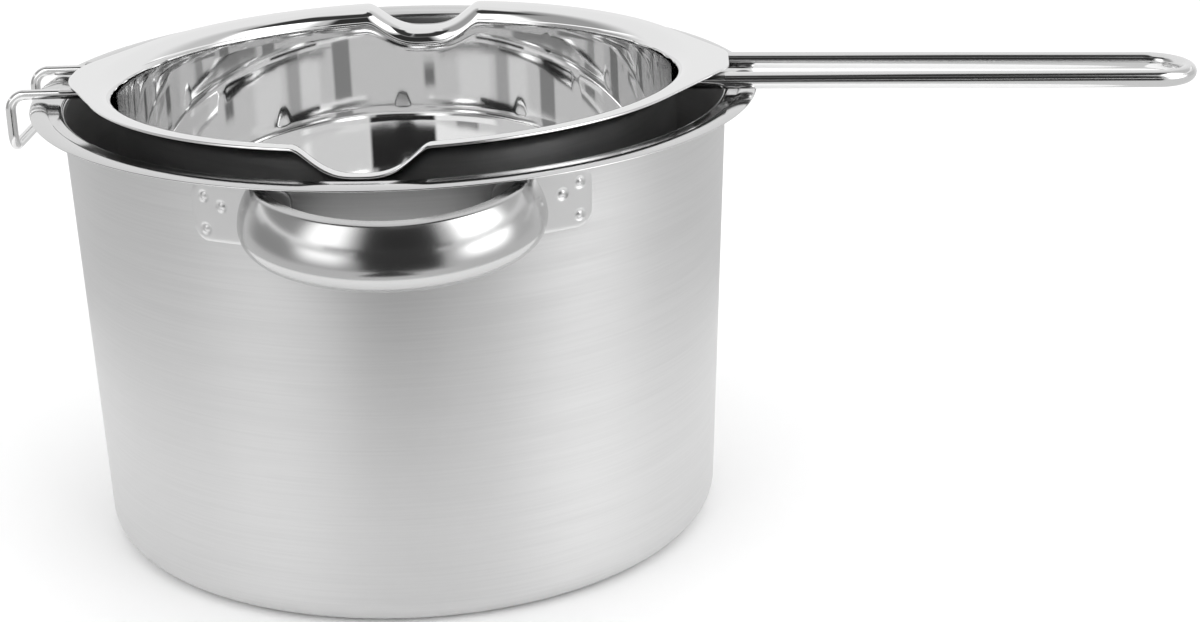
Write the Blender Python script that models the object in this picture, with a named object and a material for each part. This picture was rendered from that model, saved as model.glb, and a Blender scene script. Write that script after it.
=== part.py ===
"""Wax melting pot: a water pot with two strap grips, and a melting bowl that hangs in its mouth.

The origin is the centre of the water pot's base. +X points along the long pouring handle, -Y is the
front, where one spout and one strap grip face, and +Z is up. Lengths are in metres.
"""

import math

import bmesh
import bpy
from mathutils import Vector

MM = 0.001

# Clearance between pieces that touch or are welded together
SEAM = 0.3 * MM

# Water pot: deep-drawn shell with a rolled lip
POT_HEIGHT = 111.3 * MM
POT_TOP_RADIUS = 82.3 * MM
POT_TAPER = 3.5 * MM
POT_SHEET = 0.8 * MM
POT_CORNER = 6.4 * MM
LIP_WIDTH = 7.7 * MM
LIP_ROLL_WIDTH = 4.8 * MM
LIP_ROLL_HEIGHT = 1.0 * MM
FLARE_RADIUS = 1.0 * MM
FLARE_RISE = 0.2 * MM
POT_SIDES = 64
POT_TURN = 5.0

# Strap grips, one at the front and one at the back, each on two ear plates
GRIP_HALF_SPAN = 31.0 * MM
GRIP_FINGER_ROOM = 19.2 * MM
GRIP_ROOT_DEPTH = 5.3 * MM
GRIP_BULGE = 7.0 * MM
GRIP_ROOT_BULGE = 3.9 * MM
GRIP_CORNER_SWELL = 2.8 * MM
GRIP_CURL_RADIUS = 5.6 * MM
GRIP_FACE_RADIUS = 18.4 * MM
GRIP_BEND_RADIUS = 1.3 * MM
GRIP_FACE_LOW = 7.0
GRIP_FACE_HIGH = 36.0
GRIP_TOP_FLANGE = 2.2 * MM
GRIP_LOW_FLANGE = 1.0 * MM
GRIP_SHEET = 1.0 * MM
GRIP_ROOT_DROP = 11.3 * MM
GRIP_DROOP = 2.0 * MM
GRIP_OVERRUN = 1.08
GRIP_STATIONS = 28
GRIP_CURL_STEPS = 5

# Ear plates, centred on the roots of a strap grip
EAR_SHEET = 0.9 * MM
EAR_WIDTH = 24.6 * MM
EAR_HEIGHT = 14.4 * MM
EAR_CORNER = 4.0 * MM
EAR_ANGLE = 24.0

# Spot welds: (distance outward from the ear's centre, height above its centre)
WELD_SPOTS = ((4.4 * MM, 1.5 * MM), (8.9 * MM, 3.5 * MM), (8.9 * MM, -4.2 * MM))
SPOT_RADIUS = 1.3 * MM
SPOT_SINK = 0.15 * MM

# Melting bowl: polished insert with a flat flange, two pouring spouts and two end lobes
WATER_GAP = 11.4 * MM
BOWL_SHEET = 0.6 * MM
BOWL_DEPTH = 64.3 * MM
BOWL_TAPER = 0.3 * MM
BOWL_CORNER = 2.0 * MM
SHOULDER_RADIUS = 5.0 * MM
FLANGE_FLAT = 2.4 * MM
FLANGE_EDGE_RADIUS = 0.5 * MM
HANDLE_LOBE_REACH = 6.2 * MM
HANDLE_LOBE_HALF_WIDTH = 8.0 * MM
HOOK_LOBE_REACH = 4.6 * MM
HOOK_LOBE_HALF_WIDTH = 7.0 * MM
HANDLE_LOBE_BLEND = 1.8 * MM
HOOK_LOBE_BLEND = 2.4 * MM
SPOUT_WIDTH = 31.0 * MM
SPOUT_DEPTH = 6.4 * MM
SPOUT_ROUNDNESS = 3.0
SPOUT_SOFTNESS = 1.8
SPOUT_FADE_DEPTH = 30.0 * MM
BOWL_ROLL = -0.5

# Pouring handle: one hairpin of round rod
ROD_RADIUS = 2.1 * MM
ROD_ROOT_SPACING = 21.2 * MM
ROD_TIP_SPACING = 19.0 * MM
ROD_REACH = 108.6 * MM
ROD_DROOP = 1.3
ROD_ROOT_INSET = 1.0 * MM
ROD_BEND_STEPS = 14

# Rest hook: one bent wire that lies on the lip opposite the handle and reaches down outside it
WIRE_RADIUS = 1.25 * MM
HOOK_SPACING = 24.8 * MM
HOOK_OVERHANG = 4.5 * MM
HOOK_DROP = 13.4 * MM
HOOK_TOP_BEND = 4.0 * MM
HOOK_LOW_BEND = 3.5 * MM
HOOK_ROOT_INSET = 1.0 * MM
HOOK_BEND_STEPS = 5

# Weld fillets that hold the rods and the wire under the flange
WELD_LENGTH = 9.0 * MM
WELD_WIDTH = 1.6 * MM

# Values that follow from the sizes above
LIP_RADIUS = POT_TOP_RADIUS + LIP_WIDTH
LIP_CREST_RADIUS = LIP_RADIUS - LIP_ROLL_WIDTH / 2
LIP_ROLL_Z = POT_HEIGHT - LIP_ROLL_HEIGHT / 2
FLARE_Z = LIP_ROLL_Z - FLARE_RADIUS - POT_SHEET / 2 - FLARE_RISE
POT_BASE_RADIUS = POT_TOP_RADIUS - POT_TAPER
EAR_Z = FLARE_Z + SEAM - EAR_HEIGHT / 2
BOWL_RADIUS = POT_TOP_RADIUS - POT_SHEET - WATER_GAP - BOWL_SHEET
FLANGE_FLAT_START = BOWL_RADIUS + SHOULDER_RADIUS
FLANGE_RADIUS = FLANGE_FLAT_START + FLANGE_FLAT
ROD_DIAMETER = 2 * ROD_RADIUS
WIRE_DIAMETER = 2 * WIRE_RADIUS
ROD_FALL = (LIP_CREST_RADIUS - FLANGE_FLAT_START) * math.tan(math.radians(ROD_DROOP))
ROD_LIFT = ROD_DIAMETER + ROD_FALL
BOWL_TILT = math.asin((ROD_LIFT - WIRE_DIAMETER) / (2 * LIP_CREST_RADIUS))
FLANGE_TOP_Z = POT_HEIGHT + SEAM + (ROD_LIFT + WIRE_DIAMETER) / 2 + SEAM + BOWL_SHEET
ROD_Z = -BOWL_SHEET - SEAM - ROD_RADIUS
WIRE_Z = -BOWL_SHEET - SEAM - WIRE_RADIUS


def clear_scene():
    """Remove whatever the open file holds."""
    for old in list(bpy.data.objects):
        bpy.data.objects.remove(old, do_unlink=True)


def steel(name, level, roughness):
    """A plain stainless steel finish."""
    finish = bpy.data.materials.new(name)
    finish.use_nodes = True
    shader = finish.node_tree.nodes["Principled BSDF"]
    shader.inputs["Base Color"].default_value = (level, level, level, 1.0)
    shader.inputs["Metallic"].default_value = 1.0
    shader.inputs["Roughness"].default_value = roughness
    return finish


def frame_empty(name, location, rotation):
    """An empty that carries the pieces of one group."""
    empty = bpy.data.objects.new(name, None)
    empty.location = location
    empty.rotation_euler = rotation
    bpy.context.scene.collection.objects.link(empty)
    return empty


def add_object(name, data, finish, parent):
    """Link an object to the scene under its group's empty."""
    item = bpy.data.objects.new(name, data)
    data.materials.append(finish)
    item.parent = parent
    bpy.context.scene.collection.objects.link(item)
    return item


def mesh_from(name, points, faces):
    """A mesh with outward faces from points and faces."""
    mesh = bpy.data.meshes.new(name)
    mesh.from_pydata([tuple(point) for point in points], [], faces)
    work = bmesh.new()
    work.from_mesh(mesh)
    bmesh.ops.recalc_face_normals(work, faces=work.faces)
    work.to_mesh(mesh)
    work.free()
    mesh.shade_smooth()
    mesh.set_sharp_from_angle(angle=math.radians(40))
    return mesh


def rings_to_mesh(name, rings):
    """Skin equal rings of points, one after the other, and close both ends."""
    count = len(rings[0])
    points = [point for ring in rings for point in ring]
    faces = []
    for i in range(len(rings) - 1):
        here = i * count
        there = here + count
        for j in range(count):
            k = (j + 1) % count
            faces.append((here + j, here + k, there + k, there + j))
    faces.append(tuple(range(count)))
    faces.append(tuple(range(len(points) - 1, len(points) - count - 1, -1)))
    return mesh_from(name, points, faces)


def arc(centre_r, centre_z, radius_r, radius_z, start, end, steps):
    """Points on an elliptical arc in the (radius, height) plane, angles in degrees."""
    points = []
    for i in range(steps + 1):
        angle = math.radians(start + (end - start) * i / steps)
        points.append((centre_r + radius_r * math.cos(angle), centre_z + radius_z * math.sin(angle)))
    return points


def lathe(name, profile, finish, parent):
    """Turn a (radius, height) profile, listed inside first and then down its outer side."""
    mesh = bpy.data.meshes.new(name)
    points = [(radius, 0, height) for radius, height in profile]
    edges = [(i, i + 1) for i in range(len(points) - 1)]
    mesh.from_pydata(points, edges, [])
    item = add_object(name, mesh, finish, parent)
    turn = item.modifiers.new("turn", "SCREW")
    turn.steps = POT_SIDES
    turn.render_steps = POT_SIDES
    turn.use_merge_vertices = True
    turn.merge_threshold = 0.00001
    turn.use_smooth_shade = True
    return item


def guide(item):
    """Mark an object as a construction guide that only shapes others."""
    item.hide_render = True
    item.display_type = "WIRE"
    return item


def boolean(item, cutter, operation):
    """Shape an object with a guide solid."""
    change = item.modifiers.new(cutter.name, "BOOLEAN")
    change.object = cutter
    change.operation = operation
    change.solver = "EXACT"


def wall_radius(height):
    """Outside radius of the water pot's wall at a height."""
    share = (height - POT_CORNER) / (FLARE_Z - POT_CORNER)
    return POT_BASE_RADIUS + POT_TAPER * share


def water_pot(finish, frame):
    """The drawn shell: floor, corner, wall, flare and rolled lip."""
    flare_r = POT_TOP_RADIUS + FLARE_RADIUS
    roll_r = LIP_CREST_RADIUS
    inner_corner = POT_CORNER - POT_SHEET
    corner_r = POT_BASE_RADIUS - POT_CORNER
    profile = [(0, POT_SHEET)]
    profile += arc(corner_r, POT_CORNER, inner_corner, inner_corner, -90, 0, 4)
    profile += arc(flare_r, FLARE_Z, FLARE_RADIUS + POT_SHEET, FLARE_RADIUS + POT_SHEET, 180, 95, 4)
    profile += arc(roll_r, LIP_ROLL_Z, LIP_ROLL_WIDTH / 2, LIP_ROLL_HEIGHT / 2, 150, -150, 10)
    profile += arc(flare_r, FLARE_Z, FLARE_RADIUS, FLARE_RADIUS, 95, 180, 3)
    profile += arc(corner_r, POT_CORNER, POT_CORNER, POT_CORNER, 0, -90, 5)
    profile.append((0, 0))
    return lathe("water_pot", profile, finish, frame)


def grip_centre(u):
    """Plan position and outward normal of the strap's open edge, at a sideways distance."""
    root = wall_radius(EAR_Z) - GRIP_ROOT_DEPTH
    depth = GRIP_FINGER_ROOM + GRIP_ROOT_DEPTH
    w = root + depth * (1 - (u / GRIP_HALF_SPAN) ** 2)
    slope = -2 * depth * u / GRIP_HALF_SPAN ** 2
    length = math.hypot(slope, 1)
    return w, -slope / length, 1 / length


def polar(radius, degrees):
    """Plan vector of a length at an angle in degrees."""
    angle = math.radians(degrees)
    return Vector((radius * math.cos(angle), radius * math.sin(angle)))


def grip_section(bulge):
    """Outline (out, up) of the strap's sheet: a lower curl, a face that leans back, and a top flange."""
    curl = Vector((bulge - GRIP_CURL_RADIUS, 0))
    face = curl + polar(GRIP_CURL_RADIUS - GRIP_FACE_RADIUS, GRIP_FACE_LOW)
    bend = face + polar(GRIP_FACE_RADIUS - GRIP_BEND_RADIUS, GRIP_FACE_HIGH)
    sides = []
    for inset in (0, GRIP_SHEET):
        curl_r = GRIP_CURL_RADIUS - inset
        face_r = GRIP_FACE_RADIUS - inset
        bend_r = GRIP_BEND_RADIUS - inset
        side = [(curl.x - GRIP_LOW_FLANGE, -curl_r)]
        side += arc(curl.x, curl.y, curl_r, curl_r, -90, GRIP_FACE_LOW, GRIP_CURL_STEPS)
        side += arc(face.x, face.y, face_r, face_r, GRIP_FACE_LOW, GRIP_FACE_HIGH, 2)[1:]
        side += arc(bend.x, bend.y, bend_r, bend_r, GRIP_FACE_HIGH, 90, 2)[1:]
        side.append((bend.x - GRIP_TOP_FLANGE, bend.y + bend_r))
        sides.append(side)
    return sides[0] + sides[1][::-1]


def grip_ring(u, side):
    """One cross-section of the strap, open towards the pot."""
    share = min((u / GRIP_HALF_SPAN) ** 2, 1.2)
    w, normal_u, normal_w = grip_centre(u)
    bulge = GRIP_BULGE + (GRIP_ROOT_BULGE - GRIP_BULGE) * share
    bulge += GRIP_CORNER_SWELL * 4 * share * (1 - share)
    height = POT_HEIGHT - GRIP_ROOT_DROP - GRIP_DROOP * (1 - share)
    ring = []
    for out, up in grip_section(bulge):
        ring.append(Vector((side * (u + out * normal_u), side * (w + out * normal_w), height + up)))
    return ring


def strap_grip(name, side, finish, frame, seat):
    """A pressed strap that loops from ear to ear, cut to seat on the ear plates."""
    end = GRIP_HALF_SPAN * GRIP_OVERRUN
    stations = [end * (2 * i / (GRIP_STATIONS - 1) - 1) for i in range(GRIP_STATIONS)]
    rings = [grip_ring(u, side) for u in stations]
    item = add_object(name, rings_to_mesh(name, rings), finish, frame)
    boolean(item, seat, "DIFFERENCE")
    return item


def wall_band(name, inner, outer, finish, frame):
    """A guide ring that follows the pot's wall, from one distance outside it to another."""
    low = EAR_Z - EAR_HEIGHT
    high = EAR_Z + EAR_HEIGHT
    profile = [
        (wall_radius(low) + inner, low),
        (wall_radius(high) + inner, high),
        (wall_radius(high) + outer, high),
        (wall_radius(low) + outer, low),
        (wall_radius(low) + inner, low),
    ]
    return guide(lathe(name, profile, finish, frame))


def seat_cone(finish, frame):
    """A guide solid that fills the pot and the ear plates, with the seam round them."""
    low = EAR_Z - EAR_HEIGHT
    high = EAR_Z + EAR_HEIGHT
    reach = SEAM + EAR_SHEET + SEAM
    profile = [(0, high), (wall_radius(high) + reach, high), (wall_radius(low) + reach, low), (0, low)]
    return guide(lathe("grip_seat_guide", profile, finish, frame))


def radial_prism(name, outline, angle, near, far, finish, frame):
    """Extrude an outline of (sideways, up) points along the radius at an angle from +Y."""
    out = Vector((math.sin(angle), math.cos(angle), 0))
    aside = Vector((math.cos(angle), -math.sin(angle), 0))
    rings = []
    for radius in (near, far):
        rings.append([out * radius + aside * s + Vector((0, 0, z)) for s, z in outline])
    return add_object(name, rings_to_mesh(name, rings), finish, frame)


def rounded_rectangle(width, height, corner, steps):
    """Outline points of a rectangle with round corners, round its own centre."""
    points = []
    for quarter, (sx, sz) in enumerate(((1, 1), (-1, 1), (-1, -1), (1, -1))):
        centre_x = sx * (width / 2 - corner)
        centre_z = sz * (height / 2 - corner)
        points += arc(centre_x, centre_z, corner, corner, 90 * quarter, 90 * (quarter + 1), steps)
    return points


def ear_with_welds(name, side, hand, steels, frame, band):
    """One ear plate on the pot's wall, with its three spot welds."""
    angle = math.radians(hand * EAR_ANGLE + (0 if side > 0 else 180))
    outline = [(s, EAR_Z + z) for s, z in rounded_rectangle(EAR_WIDTH, EAR_HEIGHT, EAR_CORNER, 4)]
    near = POT_BASE_RADIUS / 2
    far = LIP_RADIUS + EAR_SHEET
    ear = radial_prism(name, outline, angle, near, far, steels["ear"], frame)
    boolean(ear, band, "INTERSECT")
    for number, (outward, up) in enumerate(WELD_SPOTS, start=1):
        z = EAR_Z + up
        wall = wall_radius(z)
        spot_angle = angle + hand * outward / wall
        hole = arc(0, z, SPOT_RADIUS + SEAM, SPOT_RADIUS + SEAM, 0, 315, 7)
        cutter = radial_prism(f"{name}_hole_{number}", hole, spot_angle, near, far, steels["ear"], frame)
        boolean(ear, guide(cutter), "DIFFERENCE")
        disc = arc(0, z, SPOT_RADIUS, SPOT_RADIUS, 0, 315, 7)
        inner = wall + SEAM
        outer = inner + EAR_SHEET - SPOT_SINK
        radial_prism(f"{name}_spot_{number}", disc, spot_angle, inner, outer, steels["weld"], frame)


def bowl_angles():
    """Angles round the bowl in degrees, closer together at the lobes and the spouts."""
    spans = ((0, 28, 3.5), (28, 72, 5.5), (72, 108, 2.25), (108, 156, 6), (156, 180, 3))
    half = []
    for start, end, step in spans:
        half += [start + step * i for i in range(round((end - start) / step))]
    return half + [180] + [-angle for angle in reversed(half[1:])]


def soft_minimum(one, other, blend):
    """The smaller of two lengths, with the corner between them rounded off."""
    share = min(max(0.5 + 0.5 * (other - one) / blend, 0), 1)
    return other + (one - other) * share - blend * share * (1 - share)


def lobe_radius(angle, reach, half_width, blend):
    """Flange outline near a lobe: a blunt end, and tangents from it to the round flange."""
    tip = FLANGE_RADIUS + reach
    corner = math.atan2(half_width, tip)
    tangent = corner + math.acos(FLANGE_RADIUS / math.hypot(tip, half_width))
    if angle >= tangent:
        return FLANGE_RADIUS
    return soft_minimum(tip / math.cos(angle), FLANGE_RADIUS / math.cos(tangent - angle), blend)


def flange_radius(angle):
    """Flange outline at an angle from the handle, in radians from -pi to pi."""
    if abs(angle) < math.pi / 2:
        return lobe_radius(abs(angle), HANDLE_LOBE_REACH, HANDLE_LOBE_HALF_WIDTH, HANDLE_LOBE_BLEND)
    return lobe_radius(math.pi - abs(angle), HOOK_LOBE_REACH, HOOK_LOBE_HALF_WIDTH, HOOK_LOBE_BLEND)


def smooth(share):
    """Smooth step from 0 to 1."""
    share = min(max(share, 0), 1)
    return share * share * (3 - 2 * share)


def spout_drop(x, z):
    """How far a point of the bowl sinks for the spouts, which cross the flange along Y."""
    across = min(abs(x) / (SPOUT_WIDTH / 2), 1)
    fade = 1 - smooth((-z - SHOULDER_RADIUS) / SPOUT_FADE_DEPTH)
    return SPOUT_DEPTH * (1 - across ** SPOUT_ROUNDNESS) ** SPOUT_SOFTNESS * fade


def bowl_section(angle):
    """Closed (radius, height) outline of the bowl's sheet at an angle, from the inside floor."""
    edge = flange_radius(angle)
    corner_z = BOWL_CORNER - BOWL_DEPTH
    low_radius = BOWL_RADIUS - BOWL_TAPER
    corner_r = low_radius - BOWL_CORNER
    outer_corner = BOWL_CORNER + BOWL_SHEET
    shoulder_in = SHOULDER_RADIUS - BOWL_SHEET
    mid_z = -(SHOULDER_RADIUS + SPOUT_FADE_DEPTH)
    mid_share = (mid_z - corner_z) / (-SHOULDER_RADIUS - corner_z)
    mid_r = low_radius + BOWL_TAPER * mid_share
    points = arc(corner_r, corner_z, BOWL_CORNER, BOWL_CORNER, -90, 0, 4)
    points.append((mid_r, mid_z))
    points += arc(FLANGE_FLAT_START, -SHOULDER_RADIUS, SHOULDER_RADIUS, SHOULDER_RADIUS, 180, 90, 5)
    round_r = FLANGE_EDGE_RADIUS
    points += arc(edge - round_r, -round_r, round_r, round_r, 90, 0, 2)
    points.append((edge, -BOWL_SHEET))
    points += arc(FLANGE_FLAT_START, -SHOULDER_RADIUS, shoulder_in, shoulder_in, 90, 180, 4)
    points.append((mid_r + BOWL_SHEET, mid_z))
    points += arc(corner_r, corner_z, outer_corner, outer_corner, 0, -90, 4)
    return points


def melting_bowl(finish, frame):
    """The pressed insert: cup, shoulder and flange, with the two spouts pressed into it."""
    points = []
    for degrees in bowl_angles():
        angle = math.radians(degrees)
        for radius, z in bowl_section(angle):
            x = radius * math.cos(angle)
            y = radius * math.sin(angle)
            points.append((x, y, z - spout_drop(x, z)))
    columns = len(bowl_angles())
    rows = len(points) // columns
    faces = []
    for i in range(columns):
        here = i * rows
        there = (i + 1) % columns * rows
        for j in range(rows - 1):
            faces.append((here + j, there + j, there + j + 1, here + j + 1))
    floors = ((0, -BOWL_DEPTH), (rows - 1, -BOWL_DEPTH - BOWL_SHEET))
    for row, height in floors:
        hub = len(points)
        points.append((0, 0, height))
        for i in range(columns):
            faces.append((i * rows + row, (i + 1) % columns * rows + row, hub))
    return add_object("melting_bowl", mesh_from("melting_bowl", points, faces), finish, frame)


def round_bar(name, path, radius, finish, frame):
    """A round bar along a path, closed at both ends."""
    curve = bpy.data.curves.new(name, "CURVE")
    curve.dimensions = "3D"
    curve.bevel_depth = radius
    curve.bevel_resolution = 3
    curve.use_fill_caps = True
    curve.twist_mode = "MINIMUM"
    spline = curve.splines.new("POLY")
    spline.points.add(len(path) - 1)
    for point, place in zip(spline.points, path):
        point.co = (*place, 1)
    return add_object(name, curve, finish, frame)


def root_x(spacing, inset):
    """Distance from the axis where a bar's end lies under the shoulder."""
    radius = FLANGE_FLAT_START - inset
    return math.sqrt(radius ** 2 - (spacing / 2) ** 2)


def rod_height(x):
    """Height of the handle rods' middle line: touching the flange at its flat, and falling outward."""
    return ROD_Z - (x - FLANGE_FLAT_START) * math.tan(math.radians(ROD_DROOP))


def pour_handle(finish, frame):
    """The hairpin: two rods from under the flange that meet in a half circle."""
    start_x = root_x(ROD_ROOT_SPACING, ROD_ROOT_INSET)
    bend_radius = ROD_TIP_SPACING / 2
    bend_x = LIP_RADIUS + ROD_REACH - ROD_RADIUS - bend_radius
    path = [(start_x, -ROD_ROOT_SPACING / 2, rod_height(start_x))]
    for x, y in arc(bend_x, 0, bend_radius, bend_radius, -90, 90, ROD_BEND_STEPS):
        path.append((x, y, rod_height(x)))
    path.append((start_x, ROD_ROOT_SPACING / 2, rod_height(start_x)))
    return round_bar("pour_handle", path, ROD_RADIUS, finish, frame)


def hook_wire(finish, frame):
    """The rest hook: two arms over the lip, two legs down and a cross-bar between them."""
    start_x = -root_x(HOOK_SPACING, HOOK_ROOT_INSET)
    leg_x = -(LIP_RADIUS + HOOK_OVERHANG)
    half = HOOK_SPACING / 2
    low_z = WIRE_Z - HOOK_DROP
    top = HOOK_TOP_BEND
    low = HOOK_LOW_BEND
    front = [(start_x, -half, WIRE_Z)]
    for x, z in arc(leg_x + top, WIRE_Z - top, top, top, 90, 180, HOOK_BEND_STEPS):
        front.append((x, -half, z))
    for y, z in arc(low - half, low_z + low, low, low, 180, 270, HOOK_BEND_STEPS):
        front.append((leg_x, y, z))
    back = [(x, -y, z) for x, y, z in reversed(front)]
    return round_bar("hook_wire", front + back, WIRE_RADIUS, finish, frame)


def weld_fillet(name, bar_radius, start_x, y, direction, finish, frame):
    """A weld bead in the corner between a bar and the flange above it, on the bar's outer side."""
    clear = bar_radius + SEAM
    top = math.degrees(math.asin(bar_radius / clear))
    section = arc(0, 0, clear, clear, 15, top, 3)
    section.append((clear + WELD_WIDTH, bar_radius))
    centre_z = -BOWL_SHEET - SEAM - bar_radius
    hand = 1 if y > 0 else -1
    rings = []
    for distance in (0, WELD_LENGTH):
        x = start_x + direction * distance
        rings.append([Vector((x, y + hand * s, centre_z + z)) for s, z in section])
    return add_object(name, rings_to_mesh(name, rings), finish, frame)


def build_pot(steels):
    """The water pot with its grips, ears and spot welds."""
    frame = frame_empty("pot_frame", (0, 0, 0), (0, 0, math.radians(POT_TURN)))
    water_pot(steels["pot"], frame)
    seat = seat_cone(steels["pot"], frame)
    band = wall_band("ear_band_guide", SEAM, SEAM + EAR_SHEET, steels["pot"], frame)
    for place, side in (("front", -1), ("rear", 1)):
        strap_grip(f"{place}_grip", side, steels["grip"], frame, seat)
        for hand, x_side in (("left", -1), ("right", 1)):
            ear_with_welds(f"{place}_{hand}_ear", side, x_side * side, steels, frame, band)


def build_bowl(steels):
    """The melting bowl with its handle, hook and welds, tilted as it rests on the lip."""
    frame = frame_empty("bowl_frame", (0, 0, FLANGE_TOP_Z), (math.radians(BOWL_ROLL), -BOWL_TILT, 0))
    melting_bowl(steels["bowl"], frame)
    pour_handle(steels["rod"], frame)
    hook_wire(steels["rod"], frame)
    rod_x = root_x(ROD_ROOT_SPACING, ROD_ROOT_INSET)
    wire_x = root_x(HOOK_SPACING, HOOK_ROOT_INSET)
    for place, side in (("front", -1), ("rear", 1)):
        rod_y = side * ROD_ROOT_SPACING / 2
        wire_y = side * HOOK_SPACING / 2
        weld_fillet(f"handle_weld_{place}", ROD_RADIUS, rod_x, rod_y, 1, steels["weld"], frame)
        weld_fillet(f"hook_weld_{place}", WIRE_RADIUS, -wire_x, wire_y, -1, steels["weld"], frame)


def main():
    clear_scene()
    steels = {
        "pot": steel("pot_satin_steel", 0.72, 0.32),
        "grip": steel("grip_polished_steel", 0.76, 0.16),
        "ear": steel("ear_satin_steel", 0.7, 0.35),
        "bowl": steel("bowl_mirror_steel", 0.82, 0.06),
        "rod": steel("rod_polished_steel", 0.78, 0.14),
        "weld": steel("weld_steel", 0.55, 0.4),
    }
    build_pot(steels)
    build_bowl(steels)


main()
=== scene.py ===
import math

import bmesh
import bpy
from mathutils import Euler, Matrix, Vector


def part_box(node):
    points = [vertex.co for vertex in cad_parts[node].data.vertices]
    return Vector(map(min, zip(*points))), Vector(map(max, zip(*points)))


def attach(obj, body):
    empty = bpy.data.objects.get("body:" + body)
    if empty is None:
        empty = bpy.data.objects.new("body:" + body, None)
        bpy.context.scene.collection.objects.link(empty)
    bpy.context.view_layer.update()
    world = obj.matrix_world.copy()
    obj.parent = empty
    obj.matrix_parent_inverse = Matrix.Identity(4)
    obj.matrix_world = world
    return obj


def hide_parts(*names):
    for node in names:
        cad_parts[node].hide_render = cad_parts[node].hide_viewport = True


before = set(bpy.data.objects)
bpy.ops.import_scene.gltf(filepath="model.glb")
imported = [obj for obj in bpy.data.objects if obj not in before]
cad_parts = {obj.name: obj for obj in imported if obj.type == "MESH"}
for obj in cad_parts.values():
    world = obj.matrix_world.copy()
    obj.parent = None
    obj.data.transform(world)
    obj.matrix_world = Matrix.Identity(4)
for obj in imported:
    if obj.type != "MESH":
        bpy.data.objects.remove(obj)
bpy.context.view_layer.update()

MM = 0.001

# The CAD box, kept from straight after loading
_, POT_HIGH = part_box("water_pot")

# Every mesh: edges sharper than this stay sharp
SHARP_ANGLE = math.radians(35)

# Water pot, sized as in the CAD model; plain angles are in degrees throughout
LIP_RADIUS = POT_HIGH.x
POT_HEIGHT = POT_HIGH.z
LIP_WIDTH = 7.7 * MM
LIP_ROLL_WIDTH = 4.8 * MM
LIP_ROLL_HEIGHT = 1.0 * MM
LIP_ROLL_START = 150
FLARE_RADIUS = 1.0 * MM
FLARE_RISE = 0.2 * MM
FLARE_END = 95
POT_TAPER = 3.5 * MM
POT_SHEET = 0.8 * MM
POT_CORNER = 6.4 * MM
POT_TURN = math.radians(5.0)
POT_STEPS = 288
POT_FLOOR_STEPS = 8
POT_INNER_CORNER_STEPS = 12
POT_OUTER_CORNER_STEPS = 16
POT_WALL_STEPS = 10
FLARE_STEPS = 12
LIP_ROLL_STEPS = 40

# Strap grips
GRIP_HALF_SPAN = 31.0 * MM
GRIP_FINGER_ROOM = 19.2 * MM
GRIP_ROOT_DEPTH = 5.3 * MM
GRIP_BULGE = 7.0 * MM
GRIP_ROOT_BULGE = 3.9 * MM
GRIP_CORNER_SWELL = 2.8 * MM
GRIP_CURL_RADIUS = 5.6 * MM
GRIP_FACE_RADIUS = 18.4 * MM
GRIP_BEND_RADIUS = 1.3 * MM
GRIP_FACE_LOW = 7.0
GRIP_FACE_HIGH = 36.0
GRIP_TOP_FLANGE = 2.2 * MM
GRIP_LOW_FLANGE = 1.0 * MM
GRIP_SHEET = 1.0 * MM
GRIP_ROOT_DROP = 11.3 * MM
GRIP_DROOP = 2.0 * MM
GRIP_CURL_STEPS = 22
GRIP_FACE_STEPS = 14
GRIP_BEND_STEPS = 12
GRIP_STATIONS = 140
GRIP_SHARE_LIMIT = 1.2
GRIP_END_NEAR = 0.5 * GRIP_HALF_SPAN
GRIP_END_FAR = 1.15 * GRIP_HALF_SPAN
GRIP_END_HALVINGS = 24

# Ear plates and their spot-weld dimples, each a ring-shaped groove round a small peak
EAR_SHEET = 0.9 * MM
EAR_WIDTH = 24.6 * MM
EAR_HEIGHT = 14.4 * MM
EAR_CORNER = 4.0 * MM
EAR_ANGLE = 24.0
EAR_EDGE_THINNING = 0.35
EAR_EDGE_SHARPNESS = 14
EAR_COLUMNS = 84
EAR_ROWS = 46
SEAM = 0.3 * MM
WELD_SPOTS = ((4.4 * MM, 1.5 * MM), (8.9 * MM, 3.5 * MM), (8.9 * MM, -4.2 * MM))
SPOT_RADIUS = 1.3 * MM
SPOT_REACH = 1.6
GROOVE_DEPTH = 0.28 * MM
GROOVE_PLACE = 0.75
GROOVE_WIDTH = 0.28
PEAK_HEIGHT = 0.12 * MM
PEAK_WIDTH = 0.4

# Melting bowl; a lobe is its reach, its half width and the softness of its corners
WATER_GAP = 11.4 * MM
BOWL_SHEET = 0.6 * MM
BOWL_DEPTH = 64.3 * MM
BOWL_TAPER = 0.3 * MM
BOWL_CORNER = 0.4 * MM
SHOULDER_RADIUS = 5.0 * MM
FLANGE_FLAT = 2.4 * MM
FLANGE_EDGE_RADIUS = 0.5 * MM
HANDLE_LOBE = (6.2 * MM, 8.0 * MM, 1.8 * MM)
HOOK_LOBE = (4.6 * MM, 7.0 * MM, 2.4 * MM)
SPOUT_WIDTH = 31.0 * MM
SPOUT_DEPTH = 6.4 * MM
SPOUT_ROUNDNESS = 3.0
SPOUT_SOFTNESS = 1.8
SPOUT_FADE_DEPTH = 30.0 * MM
BOWL_ROLL = math.radians(-0.5)
BOWL_COLUMNS = 480
BOWL_FLOOR_STEPS = 6
BOWL_CORNER_STEPS = 16
BOWL_WALL_STEPS = 24
SHOULDER_STEPS = 18
FLANGE_STEPS = 4
FLANGE_EDGE_STEPS = 5
UNDERSIDE_BEND_STEPS = 14

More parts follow.
